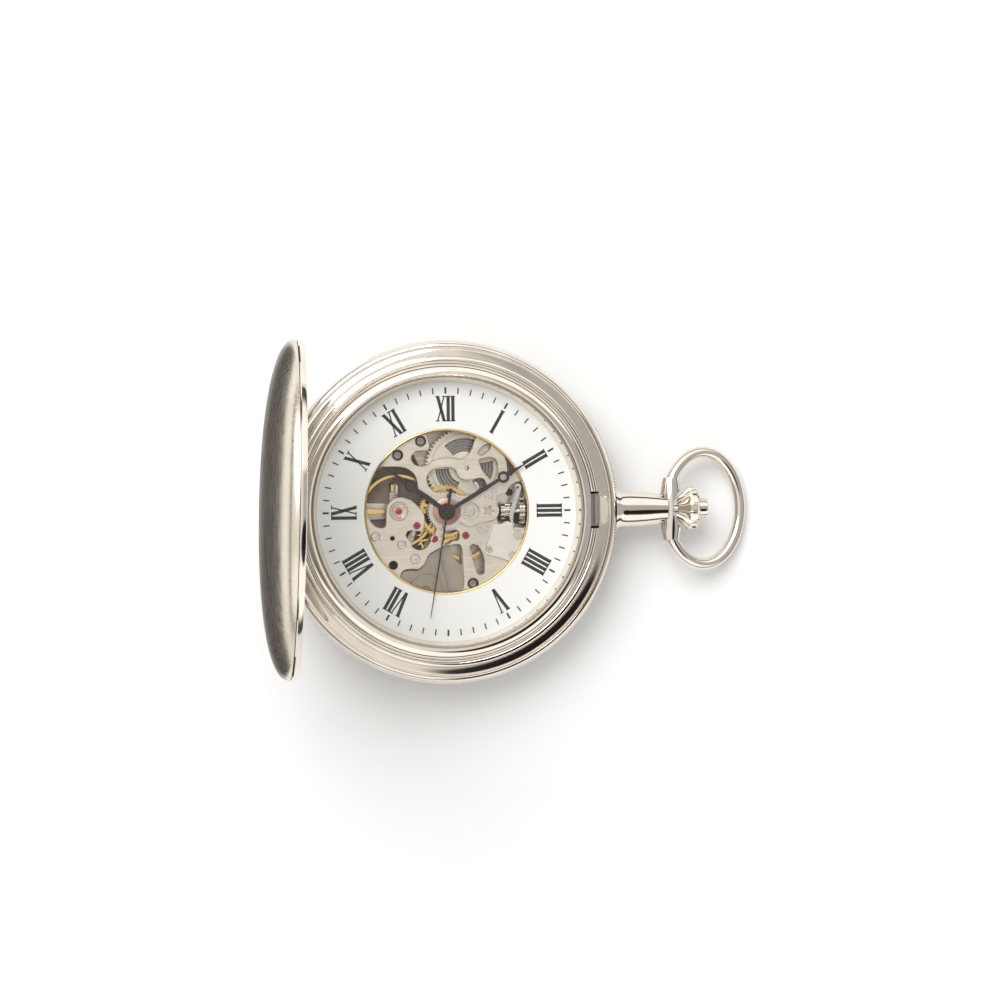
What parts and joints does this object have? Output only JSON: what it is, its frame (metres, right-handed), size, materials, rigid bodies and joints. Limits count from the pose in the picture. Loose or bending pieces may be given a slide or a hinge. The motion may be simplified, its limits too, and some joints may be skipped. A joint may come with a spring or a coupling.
{
  "type": "pocket watch",
  "caption": "Hunter-case pocket watch with a sprung cover, push crown, swinging bow and an open-centre Roman dial over a hand-wound movement, lying open on its back.",
  "frame": {"origin": "centre of the flat of the case back, on the surface that the watch lies on", "axes": "+Z out of the dial, +X towards the crown and bow, +Y towards twelve o'clock"},
  "size_m": [0.0683, 0.0468, 0.0536],
  "materials": {
    "polished_case": "polished nickel, mirror finish",
    "satin_cover": "satin brushed dome",
    "crystal": "clear polished crystal",
    "seal": "matt black seal",
    "steel": "fine turned steel",
    "spring_steel": "spring steel",
    "dial_white": "white lacquer, semi-gloss",
    "gilt": "gilt brass",
    "nickel_plate": "nickelled brass, finely brushed",
    "ruby": "polished synthetic ruby in a setting",
    "copper": "copper foil",
    "black_steel": "blackened steel"
  },
  "bodies": {
    "case": {"case_band": "polished_case", "case_back": "polished_case", "bezel": "polished_case", "crystal": "crystal", "crystal_gasket": "seal", "pendant": "polished_case", "hinge_pin": "steel", "fly_spring": "spring_steel", "lock_spring": "spring_steel", "dial": "dial_white", "aperture_ring": "gilt", "movement_ring": "nickel_plate", "main_plate": "nickel_plate", "motion_work_bridge": "nickel_plate", "barrel_bridge": "nickel_plate", "train_bridge": "nickel_plate", "balance_cock": "nickel_plate", "pallet_cock": "nickel_plate", "setting_lever_plate": "nickel_plate", "setting_lever": "steel", "hairspring": "spring_steel", "shock_jewel": "ruby", "hour_washer": "copper", "setting_plate_screw_1": "steel", "setting_plate_screw_2": "steel", "motion_bridge_screw": "steel", "case_screw_1": "steel", "case_screw_2": "steel"},
    "cover": {"cover_rim": "polished_case", "cover_shell": "satin_cover"},
    "push": {"release_collar": "steel"},
    "crown": {"crown": "polished_case", "stem": "steel"},
    "catch": {"lid_catch": "steel"},
    "bow": {"bow": "polished_case"},
    "winding": {"winding_pinion": "steel", "sliding_clutch": "steel"},
    "crown_wheel": {"crown_wheel": "steel"},
    "ratchet": {"ratchet_wheel": "steel", "barrel_arbor": "steel"},
    "click": {"click": "steel"},
    "seconds": {"seconds_hand": "black_steel", "fourth_wheel": "gilt"},
    "minutes": {"minute_hand": "black_steel", "centre_wheel": "gilt", "cannon_pinion": "steel"},
    "hours": {"hour_hand": "black_steel", "hour_wheel": "steel"},
    "minute_wheel": {"minute_wheel": "steel"},
    "third_wheel": {"third_wheel": "gilt"},
    "barrel": {"barrel": "gilt", "mainspring": "spring_steel"},
    "escape_wheel": {"escape_wheel": "steel"},
    "pallet_fork": {"pallet_fork": "steel"},
    "balance": {"balance_wheel": "gilt"}
  },
  "joints": [
    {"name": "cover_hinge", "type": "hinge", "parent": "case", "child": "cover", "pos_m": [-0.02229, 0.00066, 0.00925], "axis": [0.0297, 0.9996, 0], "range_deg": [0, 90], "stiffness_Nm_per_rad": 0.0012, "springref_deg": -68.75},
    {"name": "crown_push", "type": "slide", "parent": "case", "child": "push", "axis": [-1, 0, 0], "range_m": [0, 0.0006], "stiffness_N_per_m": 2000, "springref_m": -0.0005},
    {"name": "crown_spin", "type": "hinge", "parent": "push", "child": "crown", "pos_m": [0.03, 0, 0.0048], "axis": [1, 0, 0], "continuous": true},
    {"name": "catch_slide", "type": "slide", "parent": "case", "child": "catch", "axis": [-1, 0, 0], "range_m": [0, 0.0006]},
    {"name": "bow_swing", "type": "hinge", "parent": "case", "child": "bow", "pos_m": [0.03105, 0, 0.0048], "axis": [0, 1, 0], "range_deg": [-158, 110]},
    {"name": "winding_spin", "type": "hinge", "parent": "case", "child": "winding", "pos_m": [0.01, 0, 0.0048], "axis": [1, 0, 0], "continuous": true},
    {"name": "crown_wheel_spin", "type": "hinge", "parent": "case", "child": "crown_wheel", "pos_m": [0.009, 0.00255, 0.0018], "axis": [0, 0, 1], "continuous": true},
    {"name": "ratchet_spin", "type": "hinge", "parent": "case", "child": "ratchet", "pos_m": [0.00269, 0.00602, 0.0018], "axis": [0, 0, 1], "continuous": true},
    {"name": "click_pivot", "type": "hinge", "parent": "case", "child": "click", "pos_m": [0.00414, 0.01145, 0.0018], "axis": [0, 0, 1], "range_deg": [-8, 0], "stiffness_Nm_per_rad": 0.00002, "springref_deg": 17.19},
    {"name": "seconds_spin", "type": "hinge", "parent": "case", "child": "seconds", "pos_m": [0, 0, 0.005], "axis": [0, 0, 1], "continuous": true},
    {"name": "minutes_spin", "type": "hinge", "parent": "case", "child": "minutes", "pos_m": [0, 0, 0.005], "axis": [0, 0, 1], "continuous": true},
    {"name": "hours_spin", "type": "hinge", "parent": "case", "child": "hours", "pos_m": [0, 0, 0.0065], "axis": [0, 0, 1], "continuous": true},
    {"name": "minute_wheel_spin", "type": "hinge", "parent": "case", "child": "minute_wheel", "pos_m": [0.00319, 0, 0.006], "axis": [0, 0, 1], "continuous": true},
    {"name": "third_wheel_spin", "type": "hinge", "parent": "case", "child": "third_wheel", "pos_m": [0.0025, -0.00312, 0.004], "axis": [0, 0, 1], "continuous": true},
    {"name": "barrel_spin", "type": "hinge", "parent": "case", "child": "barrel", "pos_m": [0.00269, 0.00602, 0.004], "axis": [0, 0, 1], "continuous": true},
    {"name": "escape_spin", "type": "hinge", "parent": "case", "child": "escape_wheel", "pos_m": [-0.00165, -0.00369, 0.003], "axis": [0, 0, 1], "continuous": true},
    {"name": "pallet_rock", "type": "hinge", "parent": "case", "child": "pallet_fork", "pos_m": [-0.00405, -0.00187, 0.003], "axis": [0, 0, 1], "range_deg": [-5, 5]},
    {"name": "balance_swing", "type": "hinge", "parent": "case", "child": "balance", "pos_m": [-0.00647, 0.00012, 0.0035], "axis": [0, 0, 1], "range_deg": [-270, 270], "stiffness_Nm_per_rad": 0.00000036}
  ],
  "couplings": [
    {"joint": "catch_slide", "follows": "crown_push", "ratio": 1},
    {"joint": "winding_spin", "follows": "crown_spin", "ratio": 1},
    {"joint": "crown_wheel_spin", "follows": "crown_spin", "ratio": 0.5},
    {"joint": "ratchet_spin", "follows": "crown_spin", "ratio": -0.33333},
    {"joint": "minutes_spin", "follows": "seconds_spin", "ratio": 0.016667},
    {"joint": "hours_spin", "follows": "seconds_spin", "ratio": 0.0013889},
    {"joint": "minute_wheel_spin", "follows": "seconds_spin", "ratio": -0.0055556},
    {"joint": "third_wheel_spin", "follows": "seconds_spin", "ratio": -0.125},
    {"joint": "barrel_spin", "follows": "seconds_spin", "ratio": -0.0027778},
    {"joint": "escape_spin", "follows": "seconds_spin", "ratio": -10}
  ]
}
